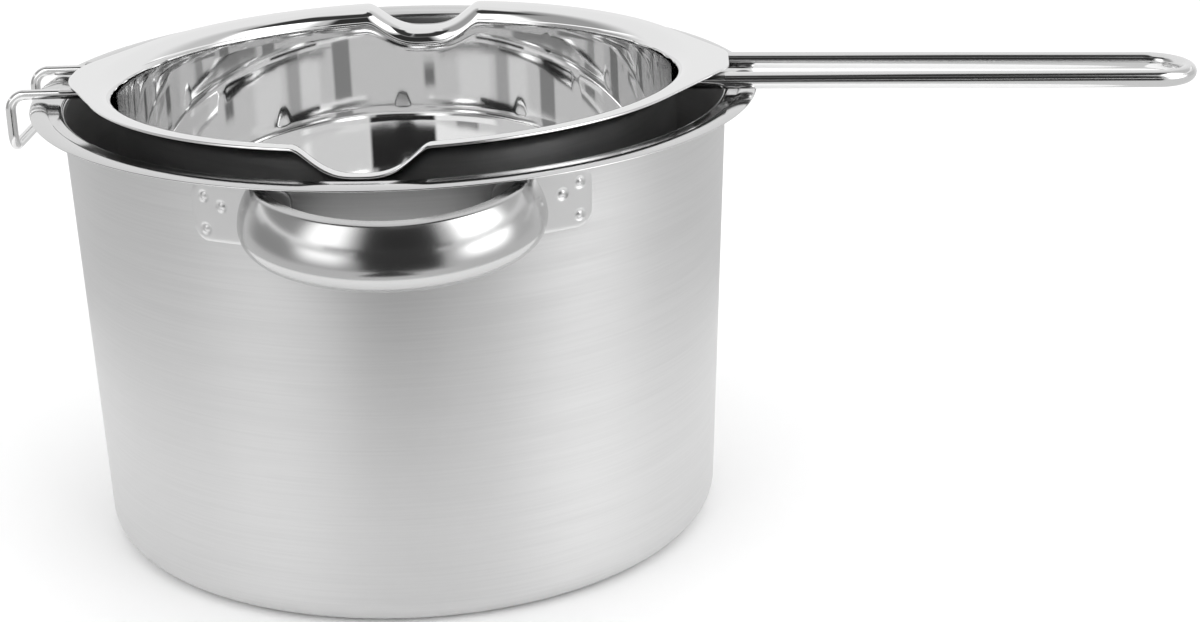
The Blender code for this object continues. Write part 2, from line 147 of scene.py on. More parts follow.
# Handle rod and hook wire
ROD_RADIUS = 2.1 * MM
ROD_ROOT_SPACING = 21.2 * MM
ROD_TIP_SPACING = 19.0 * MM
ROD_REACH = 108.6 * MM
ROD_DROOP = math.radians(1.3)
ROD_ROOT_INSET = 1.0 * MM
ROD_STEPS = 20
WIRE_RADIUS = 1.25 * MM
HOOK_SPACING = 24.8 * MM
HOOK_OVERHANG = 4.5 * MM
HOOK_DROP = 13.4 * MM
HOOK_TOP_BEND = 4.0 * MM
HOOK_LOW_BEND = 3.5 * MM
HOOK_ROOT_INSET = 1.0 * MM
BEND_STEPS = 24
BAR_SIDES = 28

# Values that follow from the sizes above
POT_TOP_RADIUS = LIP_RADIUS - LIP_WIDTH
POT_BASE_RADIUS = POT_TOP_RADIUS - POT_TAPER
LIP_CREST_RADIUS = LIP_RADIUS - LIP_ROLL_WIDTH / 2
LIP_ROLL_Z = POT_HEIGHT - LIP_ROLL_HEIGHT / 2
FLARE_Z = LIP_ROLL_Z - FLARE_RADIUS - POT_SHEET / 2 - FLARE_RISE
EAR_Z = FLARE_Z + SEAM - EAR_HEIGHT / 2
BOWL_RADIUS = POT_TOP_RADIUS - POT_SHEET - WATER_GAP - BOWL_SHEET
FLANGE_FLAT_START = BOWL_RADIUS + SHOULDER_RADIUS
FLANGE_RADIUS = FLANGE_FLAT_START + FLANGE_FLAT
ROD_LIFT = 2 * ROD_RADIUS + (LIP_CREST_RADIUS - FLANGE_FLAT_START) * math.tan(ROD_DROOP)
BOWL_TILT = math.asin((ROD_LIFT - 2 * WIRE_RADIUS) / (2 * LIP_CREST_RADIUS))
FLANGE_TOP_Z = POT_HEIGHT + SEAM + ROD_LIFT / 2 + WIRE_RADIUS + SEAM + BOWL_SHEET
ROD_Z = -BOWL_SHEET - SEAM - ROD_RADIUS
WIRE_Z = -BOWL_SHEET - SEAM - WIRE_RADIUS
POT_FRAME = Matrix.Rotation(POT_TURN, 4, "Z")
BOWL_LEVELLING = Euler((BOWL_ROLL, -BOWL_TILT, 0)).to_matrix().to_4x4()
BOWL_FRAME = Matrix.Translation((0, 0, FLANGE_TOP_Z)) @ BOWL_LEVELLING

# Steel: level is the grey of its reflections
POT_LEVEL = 0.69
# The pot's inside is a darker grey than its outside: painted shade.
POT_INSIDE_PAINTED_SHADE_LEVEL = 0.46
POT_ROUGHNESS = 0.4
LIP_ROUGHNESS = 0.1
GRIP_LEVEL = 0.6
GRIP_ROUGHNESS = 0.19
# The strap's inside is near black: painted shade in its hollow.
GRIP_INSIDE_PAINTED_SHADE_LEVEL = 0.1
GRIP_INSIDE_ROUGHNESS = 0.3
EAR_LEVEL = 0.71
EAR_ROUGHNESS = 0.36
BOWL_LEVEL = 0.88
BOWL_ROUGHNESS = 0.02
ROD_LEVEL = 0.8
ROD_ROUGHNESS = 0.12
WELD_LEVEL = 0.55
WELD_ROUGHNESS = 0.4

# Brush marks in the pot's sheet: a fine pattern and a broad one, mixed
BRUSH_ALONG = 35
BRUSH_ACROSS = 1800
BRUSH_DETAIL = 4
BRUSH_SHARE = 0.6
BROAD_ALONG = BRUSH_ALONG / 2
BROAD_ACROSS = BRUSH_ACROSS / 8
BROAD_DETAIL = 2
BROAD_SHARE = 0.4
BRUSH_LOW = 0.3
BRUSH_HIGH = 0.7
BRUSH_HEIGHT = 0.004 * MM
BRUSH_ROUGHNESS_SPREAD = 0.04
BRUSH_LEVEL_SPREAD = 0.025
BRUSH_STRETCH = 0.7
BRUSH_TURN = 0.25

# Soft waves in the bowl's polished sheet
WAVE_SCALE = 45
WAVE_DETAIL = 1
WAVE_HEIGHT = 0.012 * MM

# Camera, as found from the photograph
CAMERA_PLACE = Vector((68.4, -580.5, 261.5)) * MM
CAMERA_YAW = math.radians(-1.84)
CAMERA_PITCH = math.radians(19.99)
CAMERA_ROLL = math.radians(1.19)
CAMERA_LENS = 71.72
SENSOR_WIDTH = 36
GLOSSY_BOUNCES = 24
ALL_BOUNCES = 28

# White surroundings and a pale floor
WORLD_SEEN = 1.0
WORLD_FILL = 1.0
FLOOR_HALF = 4.0
FLOOR_DROP = 0.2 * MM
FLOOR_LEVEL = 0.94
FLOOR_ROUGHNESS = 0.9

# Lamps: azimuth from the front towards +X, elevation and distance, then width and height
LEFT_LAMP_PLACE = (-40, 35, 1.5)
RIGHT_LAMP_PLACE = (45, 35, 1.5)
TOP_LAMP_PLACE = (180, 80, 1.6)
SIDE_LAMP_SIZE = (0.9, 1.2)
TOP_LAMP_SIZE = (1.2, 1.2)
LEFT_LAMP_POWER = 4
RIGHT_LAMP_POWER = 5
TOP_LAMP_POWER = 3

# Dome that only the steel sees. Its azimuths count from the side that the photograph was taken
# from, and each range is low, high and the softness of both edges.
DOME_RADIUS = 0.9
DOME_LOW = -10
DOME_SPAN = 99.9
DOME_ROWS = 24
DOME_COLUMNS = 64
CAMERA_SIDE = 6.7
ALL_ROUND = (-1, 181, 1)

# Its walls, from left to right in front and then round the rear
WALL_LEFT = 0.36
WALL_RIGHT = 0.6
WALL_REAR = 0.88
FRONT_BLEND = 20
REAR_START = 105
REAR_FULL = 140

# Its soft boxes, its dark opening at the camera and its top
LEFT_BOX_SIDES = (-64, -32, 10)
RIGHT_BOX_SIDES = (46, 80, 12)
BOX_RISE = (8, 58, 9)
LEFT_BOX_GLOW = 2.0
RIGHT_BOX_GLOW = 3.5
OPENING_SIDES = (-22, 30, 3)
OPENING_RISE = (-20, 54, 3)
OPENING_GLOW = 0.03
TOP_RISE = (66, 91, 2)
TOP_GLOW = 0.85
RIM_SIDES = (-1, 95, 10)
RIM_RISE = (55, 77, 3)
RIM_GLOW = 0.04

# Its bands that light only the inside of the bowl: they lean, because the bowl rests tilted
BAND_LEAN = 0.72
BAND_LEAN_SIDE = 55
BOWL_LINE = 22.35
WALL_BAND = (18.0, BOWL_LINE, 0.15)
LOW_WALL_BAND = (18.0, 19.6, 0.2)
MIDDLE_WALL_BAND = (20.0, 21.0, 0.2)
LEFT_BAR_SIDES = (-103, -74, 3)
LEFT_BAR_GLOW = 0.36
LEFT_SHINE_SIDES = (-50, -16, 6)
RIGHT_SHINE_SIDES = (18, 72, 8)
SHINE_GLOW = 1.05
MIDDLE_BAR_SIDES = (-14, 8, 5)
MIDDLE_BAR_GLOW = 0.58
FOOT_SIDES = (-60, 105, 8)
FOOT_GLOW = 0.38
RIGHT_BAR_SIDES = (115, 133, 4)
RIGHT_BAR_GLOW = 0.25
FLOOR_BAND = (BOWL_LINE, 26.0, 0.15)
FLOOR_SIDES = (-1, 128, 6)
FLOOR_GLOW = 1.25
FLOOR_RIGHT_SIDES = (38, 118, 6)
FLOOR_RIGHT_GLOW = 0.95
FLOOR_DARK_SIDES = (-47, 38, 3)

# Cards and a floor ring that only the steel sees
CARD_LOW = Vector((-0.07, -0.86, 0.0005))
CARD_HIGH = Vector((0.10, -0.29, 0.0005))
FLAG_LOW = Vector((-0.035, -0.2, 0.117))
FLAG_HIGH = Vector((0.09, -0.2, 0.142))
CARD_GLOW = 0.04
SIDE_CARD_LOW = Vector((0.10, -0.86, 0.0005))
SIDE_CARD_HIGH = Vector((0.42, -0.42, 0.0005))
SIDE_CARD_GLOW = 0.3
RING_INNER = 0.2
RING_OUTER = 0.89
RING_Z = 0.2 * MM
RING_STEPS = 96
RING_GLOW = 0.7


def link(item):
    """Put an object in the scene."""
    bpy.context.scene.collection.objects.link(item)
    return item


def mesh_object(name, points, faces, place):
    """A smooth mesh object with outward faces, its points moved by a matrix."""
    mesh = bpy.data.meshes.new(name)
    mesh.from_pydata([tuple(point) for point in points], [], faces)
    mesh.transform(place)
    work = bmesh.new()
    work.from_mesh(mesh)
    bmesh.ops.recalc_face_normals(work, faces=work.faces)
    work.to_mesh(mesh)
    work.free()
    mesh.shade_smooth()
    mesh.set_sharp_from_angle(angle=SHARP_ANGLE)
    return link(bpy.data.objects.new(name, mesh))


def finished(item, body, slot, finish, *nodes):
    """Give a piece its material and body, and hide the CAD nodes that it stands for; its slot is
    not used.
    """
    item.data.materials.append(finish)
    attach(item, body)
    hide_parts(*nodes)
    return item


def arc(centre_r, centre_z, radius_r, radius_z, start, end, steps):
    """Points on an elliptical arc in the (radius, height) plane, angles in degrees."""
    points = []
    for i in range(steps + 1):
        angle = math.radians(start + (end - start) * i / steps)
        points.append((
            centre_r + radius_r * math.cos(angle),
            centre_z + radius_z * math.sin(angle),
        ))
    return points


def bend(centre_r, centre_z, radius, start, end, steps):
    """Points on a circular arc in the (radius, height) plane, angles in degrees."""
    return arc(centre_r, centre_z, radius, radius, start, end, steps)


def straight(start, end, steps):
    """Points between two others, without the ends."""
    return [tuple(a + (b - a) * i / steps for a, b in zip(start, end)) for i in range(1, steps)]


def closed_faces(columns, rows):
    """Faces of columns of points round two axis points, which come first in the list of points."""
    faces = []
    for i in range(columns):
        here = 2 + i * rows
        there = 2 + (i + 1) % columns * rows
        faces.append((0, here, there))
        faces.append((1, there + rows - 1, here + rows - 1))
        for j in range(rows - 1):
            faces.append((here + j, here + j + 1, there + j + 1, there + j))
    return faces


def tube_faces(lengths, count):
    """Faces of a tube of this many lengths, between rings of this many points."""
    faces = []
    for i in range(lengths):
        here = i * count
        for j in range(count):
            k = (j + 1) % count
            faces.append((here + j, here + k, here + count + k, here + count + j))
    return faces


def turned(name, profile, steps, place):
    """Turn a closed (radius, height) profile that starts and ends on the axis."""
    points = [(0, 0, profile[0][1]), (0, 0, profile[-1][1])]
    rim = profile[1:-1]
    for i in range(steps):
        angle = 2 * math.pi * i / steps
        points += [(r * math.cos(angle), r * math.sin(angle), z) for r, z in rim]
    return mesh_object(name, points, closed_faces(steps, len(rim)), place)


def wall_radius(height):
    """Outside radius of the water pot's wall at a height."""
    share = (height - POT_CORNER) / (FLARE_Z - POT_CORNER)
    return POT_BASE_RADIUS + POT_TAPER * share


def build_pot_shell(finish, inside):
    """The drawn water pot with its flare and rolled lip, darker inside as painted shade."""
    flare_r = POT_TOP_RADIUS + FLARE_RADIUS
    flare_in = FLARE_RADIUS + POT_SHEET
    corner_r = POT_BASE_RADIUS - POT_CORNER
    corner_in = POT_CORNER - POT_SHEET
    inner_foot = (POT_BASE_RADIUS - POT_SHEET, POT_CORNER)
    inner_head = (POT_TOP_RADIUS - POT_SHEET, FLARE_Z)
    outer_foot = (POT_BASE_RADIUS, POT_CORNER)
    outer_head = (POT_TOP_RADIUS, FLARE_Z)
    profile = [(0, POT_SHEET)]
    profile += straight((0, POT_SHEET), (corner_r, POT_SHEET), POT_FLOOR_STEPS)
    profile += bend(corner_r, POT_CORNER, corner_in, -90, 0, POT_INNER_CORNER_STEPS)
    profile += straight(inner_foot, inner_head, POT_WALL_STEPS)
    inside_rows = len(profile) - 1
    profile += bend(flare_r, FLARE_Z, flare_in, 180, FLARE_END, FLARE_STEPS)
    profile += arc(
        LIP_CREST_RADIUS, LIP_ROLL_Z, LIP_ROLL_WIDTH / 2, LIP_ROLL_HEIGHT / 2,
        LIP_ROLL_START, -LIP_ROLL_START, LIP_ROLL_STEPS,
    )
    profile += bend(flare_r, FLARE_Z, FLARE_RADIUS, FLARE_END, 180, FLARE_STEPS)
    profile += straight(outer_head, outer_foot, POT_WALL_STEPS)
    profile += bend(corner_r, POT_CORNER, POT_CORNER, 0, -90, POT_OUTER_CORNER_STEPS)
    profile += straight((corner_r, 0), (0, 0), POT_FLOOR_STEPS)
    profile.append((0, 0))
    shell = turned("pot_shell", profile, POT_STEPS, POT_FRAME)
    finished(shell, "water_pot", "pot_steel", finish, "water_pot")
    # A second slot with the darker steel for the inside faces: painted shade.
    shell.data.materials.append(inside)
    for i, face in enumerate(shell.data.polygons):
        row = i % (len(profile) - 1)
        face.material_index = int(row == 0 or 2 <= row < inside_rows + 2)


def direction(degrees):
    """A unit vector at an angle in a flat section."""
    return Vector((math.cos(math.radians(degrees)), math.sin(math.radians(degrees))))


def grip_section(bulge):
    """Outer and inner (out, up) outline of the strap, from its lower curl to its top flange."""
    low = Vector((bulge - GRIP_CURL_RADIUS, 0))
    face = low + direction(GRIP_FACE_LOW) * (GRIP_CURL_RADIUS - GRIP_FACE_RADIUS)
    top = face + direction(GRIP_FACE_HIGH) * (GRIP_FACE_RADIUS - GRIP_BEND_RADIUS)
    sides = []
    for inset in (0, GRIP_SHEET):
        curl = GRIP_CURL_RADIUS - inset
        side = [(low.x - GRIP_LOW_FLANGE, inset - GRIP_CURL_RADIUS)]
        side += bend(low.x, low.y, curl, -90, GRIP_FACE_LOW, GRIP_CURL_STEPS)
        radius = GRIP_FACE_RADIUS - inset
        side += bend(face.x, face.y, radius, GRIP_FACE_LOW, GRIP_FACE_HIGH, GRIP_FACE_STEPS)[1:]
        radius = GRIP_BEND_RADIUS - inset
        side += bend(top.x, top.y, radius, GRIP_FACE_HIGH, 90, GRIP_BEND_STEPS)[1:]
        side.append((top.x - GRIP_TOP_FLANGE, top.y + GRIP_BEND_RADIUS - inset))
        sides.append(side)
    return sides[0] + sides[1][::-1]


def grip_point(u, index, side):
    """One point of the strap's section at a sideways distance."""
    share = min((u / GRIP_HALF_SPAN) ** 2, GRIP_SHARE_LIMIT)
    depth = GRIP_FINGER_ROOM + GRIP_ROOT_DEPTH
    w = wall_radius(EAR_Z) - GRIP_ROOT_DEPTH + depth * (1 - (u / GRIP_HALF_SPAN) ** 2)
    slope = -2 * depth * u / GRIP_HALF_SPAN ** 2
    length = math.hypot(slope, 1)
    bulge = GRIP_BULGE + (GRIP_ROOT_BULGE - GRIP_BULGE) * share
    bulge += GRIP_CORNER_SWELL * 4 * share * (1 - share)
    out, up = grip_section(bulge)[index]
    height = POT_HEIGHT - GRIP_ROOT_DROP - GRIP_DROOP * (1 - share)
    return Vector((side * (u - slope / length * out), side * (w + out / length), height + up))


def grip_end(index):
    """Sideways distance at which a line of the strap meets the ear plates."""
    near = GRIP_END_NEAR
    far = GRIP_END_FAR
    for _ in range(GRIP_END_HALVINGS):
        middle = (near + far) / 2
        point = grip_point(middle, index, 1)
        if math.hypot(point.x, point.y) > wall_radius(point.z) + 2 * SEAM + EAR_SHEET:
            near = middle
        else:
            far = middle
    return near


def build_strap(place, side, finish, inside):
    """One pressed strap grip, from ear to ear, near black inside as painted shade."""
    count = len(grip_section(GRIP_BULGE))
    ends = [grip_end(index) for index in range(count)]
    points = []
    for i in range(GRIP_STATIONS + 1):
        share = -math.cos(math.pi * i / GRIP_STATIONS)
        points += [grip_point(ends[j] * share, j, side) for j in range(count)]
    faces = tube_faces(GRIP_STATIONS, count)
    for here in (0, GRIP_STATIONS * count):
        for j in range(count // 2 - 1):
            faces.append((here + j, here + j + 1, here + count - 2 - j, here + count - 1 - j))
    strap = mesh_object(f"{place}_strap", points, faces, POT_FRAME)
    finished(strap, "water_pot", "grip_steel", finish, f"{place}_grip")
    # A second slot with the near black steel for the inside faces: painted shade.
    strap.data.materials.append(inside)
    for i in range(GRIP_STATIONS * count):
        strap.data.polygons[i].material_index = int(i % count >= count // 2)


def ear_bump(s, z):
    """Height of the ear's pressed dimples at a point (outward, up) from its centre."""
    height = 0
    for spot_s, spot_z in WELD_SPOTS:
        away = math.hypot(s - spot_s, z - spot_z) / SPOT_RADIUS
        if away < SPOT_REACH:
            height -= GROOVE_DEPTH * math.exp(-((away - GROOVE_PLACE) / GROOVE_WIDTH) ** 2)
            height += PEAK_HEIGHT * math.exp(-(away / PEAK_WIDTH) ** 2)
    return height


def plate_point(u, v):
    """Map a square of -1 to 1 on to the ear plate's rectangle with round corners."""
    half_w = EAR_WIDTH / 2
    half_h = EAR_HEIGHT / 2
    s = u * half_w
    z = v * half_h
    inset_s = abs(s) - (half_w - EAR_CORNER)
    inset_z = abs(z) - (half_h - EAR_CORNER)
    if inset_s > 0 and inset_z > 0:
        reach = max(inset_s, inset_z)
        length = math.hypot(inset_s, inset_z)
        s = math.copysign(half_w - EAR_CORNER + inset_s * reach / length, s)
        z = math.copysign(half_h - EAR_CORNER + inset_z * reach / length, z)
    return s, z


def ear_points(middle, across):
    """Points of an ear plate round an angle, first its back and then its front."""
    points = []
    for layer in (0, 1):
        for i in range(EAR_COLUMNS + 1):
            u = 2 * i / EAR_COLUMNS - 1
            for j in range(EAR_ROWS + 1):
                v = 2 * j / EAR_ROWS - 1
                s, z = plate_point(u, v)
                wall = wall_radius(EAR_Z + z) + SEAM
                edge = 1 - max(abs(u), abs(v))
                thinning = EAR_EDGE_THINNING * math.exp(-edge * EAR_EDGE_SHARPNESS)
                thick = EAR_SHEET * (1 - thinning) + ear_bump(s, z)
                radius = wall + (thick if layer else 0)
                angle = middle + across * s / wall
                points.append((radius * math.sin(angle), radius * math.cos(angle), EAR_Z + z))
    return points


def plate_faces(columns, rows):
    """Faces of a plate of two layers of points: back and front, then its edges."""
    faces = []
    stride = rows + 1
    back = (columns + 1) * stride
    for i in range(columns):
        for j in range(rows):
            a = i * stride + j
            faces.append((a, a + 1, a + stride + 1, a + stride))
            faces.append((back + a, back + a + stride, back + a + stride + 1, back + a + 1))
    for i in range(columns):
        for j in (0, rows):
            a = i * stride + j
            faces.append((a, a + stride, back + a + stride, back + a))
    for j in range(rows):
        for i in (0, columns):
            a = i * stride + j
            faces.append((a, a + 1, back + a + 1, back + a))
    return faces


def build_ear(place, hand, side, x_side, finish):
    """An ear plate that follows the wall, with its three spot-weld dimples."""
    name = f"{place}_{hand}_ear"
    across = x_side * side
    middle = math.radians(across * EAR_ANGLE + (0 if side > 0 else 180))
    points = ear_points(middle, across)
    ear = mesh_object(f"{name}_plate", points, plate_faces(EAR_COLUMNS, EAR_ROWS), POT_FRAME)
    spots = [f"{name}_spot_{number}" for number in (1, 2, 3)]
    finished(ear, "water_pot", "ear_steel", finish, name, *spots)


def smooth(share):
    """Smooth step from 0 to 1."""
    share = min(max(share, 0), 1)
    return share * share * (3 - 2 * share)


def soft_minimum(one, other, blend):
    """The smaller of two lengths, with the corner between them rounded off."""
    share = min(max(0.5 + 0.5 * (other - one) / blend, 0), 1)
    return other + (one - other) * share - blend * share * (1 - share)


def lobe_radius(angle, lobe):
    """Flange outline near a lobe: a blunt end with tangents to the flange."""
    reach, half_width, blend = lobe
    tip = FLANGE_RADIUS + reach
    corner = math.hypot(tip, half_width)
    tangent = math.atan2(half_width, tip) + math.acos(FLANGE_RADIUS / corner)
    if angle >= tangent:
        return FLANGE_RADIUS
    return soft_minimum(tip / math.cos(angle), FLANGE_RADIUS / math.cos(tangent - angle), blend)


def flange_radius(angle):
    """Flange outline at an angle from the handle."""
    angle = math.remainder(angle, 2 * math.pi)
    if abs(angle) < math.pi / 2:
        return lobe_radius(abs(angle), HANDLE_LOBE)
    return lobe_radius(math.pi - abs(angle), HOOK_LOBE)


def spout_drop(x, z):
    """How far a point of the bowl sinks for the spouts, which cross the flange along Y."""
    across = min(abs(x) / (SPOUT_WIDTH / 2), 1)
    fade = 1 - smooth((-z - SHOULDER_RADIUS) / SPOUT_FADE_DEPTH)
    return SPOUT_DEPTH * (1 - across ** SPOUT_ROUNDNESS) ** SPOUT_SOFTNESS * fade


def bowl_section(angle):
    """Closed (radius, height) outline of the bowl's sheet at an angle, from the inside floor."""
    edge = flange_radius(angle)
    corner_z = BOWL_CORNER - BOWL_DEPTH
    low_radius = BOWL_RADIUS - BOWL_TAPER
    corner_r = low_radius - BOWL_CORNER
    outer_corner = BOWL_CORNER + BOWL_SHEET
    outer_head = (BOWL_RADIUS + BOWL_SHEET, -SHOULDER_RADIUS)
    outer_foot = (low_radius + BOWL_SHEET, corner_z)
    shoulder_in = SHOULDER_RADIUS - BOWL_SHEET
    round_r = FLANGE_EDGE_RADIUS
    under_edge = (edge, -BOWL_SHEET)
    under_flat = (FLANGE_FLAT_START, -BOWL_SHEET)
    points = [(corner_r * i / BOWL_FLOOR_STEPS, -BOWL_DEPTH) for i in range(1, BOWL_FLOOR_STEPS)]
    points += bend(corner_r, corner_z, BOWL_CORNER, -90, 0, BOWL_CORNER_STEPS)
    points += straight((low_radius, corner_z), (BOWL_RADIUS, -SHOULDER_RADIUS), BOWL_WALL_STEPS)
    points += bend(FLANGE_FLAT_START, -SHOULDER_RADIUS, SHOULDER_RADIUS, 180, 90, SHOULDER_STEPS)
    points += straight((FLANGE_FLAT_START, 0), (edge - round_r, 0), FLANGE_STEPS)
    points += bend(edge - round_r, -round_r, round_r, 90, 0, FLANGE_EDGE_STEPS)
    points.append(under_edge)
    points += straight(under_edge, under_flat, FLANGE_STEPS)
    points += bend(FLANGE_FLAT_START, -SHOULDER_RADIUS, shoulder_in, 90, 180, UNDERSIDE_BEND_STEPS)
    points += straight(outer_head, outer_foot, BOWL_WALL_STEPS)
    points += bend(corner_r, corner_z, outer_corner, 0, -90, UNDERSIDE_BEND_STEPS)
    return points


def build_bowl_shell(finish):
    """The pressed insert: cup, shoulder and flange, with the two spouts pressed into it."""
    points = [(0, 0, -BOWL_DEPTH), (0, 0, -BOWL_DEPTH - BOWL_SHEET)]
    for i in range(BOWL_COLUMNS):
        angle = 2 * math.pi * i / BOWL_COLUMNS
        for radius, z in bowl_section(angle):
            x = radius * math.cos(angle)
            points.append((x, radius * math.sin(angle), z - spout_drop(x, z)))
    rows = (len(points) - 2) // BOWL_COLUMNS
    shell = mesh_object("bowl_shell", points, closed_faces(BOWL_COLUMNS, rows), BOWL_FRAME)
    finished(shell, "melting_bowl", "bowl_steel", finish, "melting_bowl")


def bar_along(name, path, radius, place):
    """A round bar along a path, closed at both ends."""
    points = []
    across = (path[1] - path[0]).normalized().orthogonal().normalized()
    for i, point in enumerate(path):
        before = path[max(i - 1, 0)]
        after = path[min(i + 1, len(path) - 1)]
        along = (after - before).normalized()
        across = (across - along * across.dot(along)).normalized()
        third = along.cross(across)
        for j in range(BAR_SIDES):
            angle = 2 * math.pi * j / BAR_SIDES
            points.append(point + (across * math.cos(angle) + third * math.sin(angle)) * radius)
    faces = tube_faces(len(path) - 1, BAR_SIDES)
    faces.append(tuple(range(BAR_SIDES)))
    faces.append(tuple(range(len(points) - 1, len(points) - BAR_SIDES - 1, -1)))
    return mesh_object(name, points, faces, place)


def root_x(spacing, inset):
    """Distance from the axis where a bar's end lies under the shoulder."""
    return math.sqrt((FLANGE_FLAT_START - inset) ** 2 - (spacing / 2) ** 2)


def build_handle(finish):
    """The hairpin: two rods from under the flange that meet in a half circle."""
    start_x = root_x(ROD_ROOT_SPACING, ROD_ROOT_INSET)
    tip = ROD_TIP_SPACING / 2
    tip_x = LIP_RADIUS + ROD_REACH - ROD_RADIUS - tip
    half = ROD_ROOT_SPACING / 2
    path = [(start_x, -half), *straight((start_x, -half), (tip_x, -tip), ROD_STEPS)]
    path += bend(tip_x, 0, tip, -90, 90, 2 * BEND_STEPS)
    path += [*straight((tip_x, tip), (start_x, half), ROD_STEPS), (start_x, half)]
    fall = math.tan(ROD_DROOP)
    points = [Vector((x, y, ROD_Z - (x - FLANGE_FLAT_START) * fall)) for x, y in path]
    rod = bar_along("handle_rod", points, ROD_RADIUS, BOWL_FRAME)
    finished(rod, "melting_bowl", "rod_steel", finish, "pour_handle")


def build_hook(finish):
    """The rest hook: two arms over the lip, two legs down and a cross-bar between them."""
    start_x = -root_x(HOOK_SPACING, HOOK_ROOT_INSET)
    leg_x = -(LIP_RADIUS + HOOK_OVERHANG)
    half = HOOK_SPACING / 2
    low_z = WIRE_Z - HOOK_DROP
    top = HOOK_TOP_BEND
    low = HOOK_LOW_BEND
    front = [Vector((start_x, -half, WIRE_Z))]
    for x, z in bend(leg_x + top, WIRE_Z - top, top, 90, 180, BEND_STEPS):
        front.append(Vector((x, -half, z)))
    for y, z in bend(low - half, low_z + low, low, 180, 270, BEND_STEPS):
        front.append(Vector((leg_x, y, z)))
    back = [Vector((point.x, -point.y, point.z)) for point in reversed(front)]
    wire = bar_along("hook_bar", front + back, WIRE_RADIUS, BOWL_FRAME)
    finished(wire, "melting_bowl", "rod_steel", finish, "hook_wire")


def value(tree, socket, given):
    """Set a socket to a number, or link it to another socket."""
    if isinstance(given, (int, float)):
        socket.default_value = given
    else:
        tree.links.new(given, socket)


def maths(tree, operation, *given):
    """Result of a Math node."""
    node = tree.nodes.new("ShaderNodeMath")
    node.operation = operation
    for socket, one in zip(node.inputs, given):
        value(tree, socket, one)
    return node.outputs[0]


def ramp(tree, given, low, high, out_low=0, out_high=1):
    """A smooth step between two values."""
    node = tree.nodes.new("ShaderNodeMapRange")
    node.interpolation_type = "SMOOTHSTEP"
    value(tree, node.inputs["Value"], given)
    value(tree, node.inputs["From Min"], low)
    value(tree, node.inputs["From Max"], high)
    value(tree, node.inputs["To Min"], out_low)
    value(tree, node.inputs["To Max"], out_high)
    return node.outputs["Result"]


def window(tree, given, low, high, soft):
    """1 between two values and 0 outside them, with soft edges."""
    rise = ramp(tree, given, low - soft, low + soft)
    fall = ramp(tree, given, high - soft, high + soft, 1, 0)
    return maths(tree, "MULTIPLY", rise, fall)


def own_place(tree):
    """X, Y and Z of the point being shaded, in the object's own metres."""
    place = tree.nodes.new("ShaderNodeTexCoord")
    parts = tree.nodes.new("ShaderNodeSeparateXYZ")
    tree.links.new(place.outputs["Object"], parts.inputs[0])
    return parts.outputs


def noise(tree, scales, detail):
    """A noise pattern in metres of the object, with its own scale along each axis."""
    place = tree.nodes.new("ShaderNodeTexCoord")
    mapping = tree.nodes.new("ShaderNodeMapping")
    mapping.inputs["Scale"].default_value = scales
    pattern = tree.nodes.new("ShaderNodeTexNoise")
    pattern.inputs["Scale"].default_value = 1
    pattern.inputs["Detail"].default_value = detail
    tree.links.new(place.outputs["Object"], mapping.inputs["Vector"])
    tree.links.new(mapping.outputs[0], pattern.inputs["Vector"])
    return pattern.outputs["Fac"]


def bump(tree, shader, height, distance):
    """Tilt the surface by a height pattern, given how high the pattern is in metres."""
    node = tree.nodes.new("ShaderNodeBump")
    node.inputs["Strength"].default_value = 1
    node.inputs["Distance"].default_value = distance
    tree.links.new(height, node.inputs["Height"])
    tree.links.new(node.outputs[0], shader.inputs["Normal"])


def steel(name, level, roughness):
    """Stainless steel: a plain level and roughness."""
    finish = bpy.data.materials.new(name)
    finish.use_nodes = True
    shader = finish.node_tree.nodes["Principled BSDF"]
    shader.inputs["Base Color"].default_value = (level, level, level, 1)
    shader.inputs["Metallic"].default_value = 1
    shader.inputs["Roughness"].default_value = roughness
    return finish


def bowl_steel():
    """The bowl's mirror-polished sheet, with soft waves."""
    finish = steel("bowl_mirror_steel", BOWL_LEVEL, BOWL_ROUGHNESS)
    tree = finish.node_tree
    ripple = noise(tree, (WAVE_SCALE, WAVE_SCALE, WAVE_SCALE), WAVE_DETAIL)
    bump(tree, tree.nodes["Principled BSDF"], ripple, WAVE_HEIGHT)
    return finish


def brushed(tree, shader, level):
    """Brush marks round the Z axis in level and surface, and the roughness that goes with them."""
    shader.inputs["Anisotropic"].default_value = BRUSH_STRETCH
    shader.inputs["Anisotropic Rotation"].default_value = BRUSH_TURN
    turn = tree.nodes.new("ShaderNodeTangent")
    turn.direction_type = "RADIAL"
    turn.axis = "Z"
    tree.links.new(turn.outputs[0], shader.inputs["Tangent"])
    fine = noise(tree, (BRUSH_ALONG, BRUSH_ALONG, BRUSH_ACROSS), BRUSH_DETAIL)
    broad = noise(tree, (BROAD_ALONG, BROAD_ALONG, BROAD_ACROSS), BROAD_DETAIL)
    fine_part = maths(tree, "MULTIPLY", fine, BRUSH_SHARE)
    broad_part = maths(tree, "MULTIPLY", broad, BROAD_SHARE)
    both = maths(tree, "ADD", fine_part, broad_part)
    darkest = level - BRUSH_LEVEL_SPREAD
    palest = level + BRUSH_LEVEL_SPREAD
    shade = ramp(tree, both, BRUSH_LOW, BRUSH_HIGH, darkest, palest)
    colour = tree.nodes.new("ShaderNodeCombineColor")
    for socket in colour.inputs[:3]:
        tree.links.new(shade, socket)
    tree.links.new(colour.outputs[0], shader.inputs["Base Color"])
    bump(tree, shader, fine, BRUSH_HEIGHT)
    smoothest = POT_ROUGHNESS - BRUSH_ROUGHNESS_SPREAD
    roughest = POT_ROUGHNESS + BRUSH_ROUGHNESS_SPREAD
    return ramp(tree, both, BRUSH_LOW, BRUSH_HIGH, smoothest, roughest)


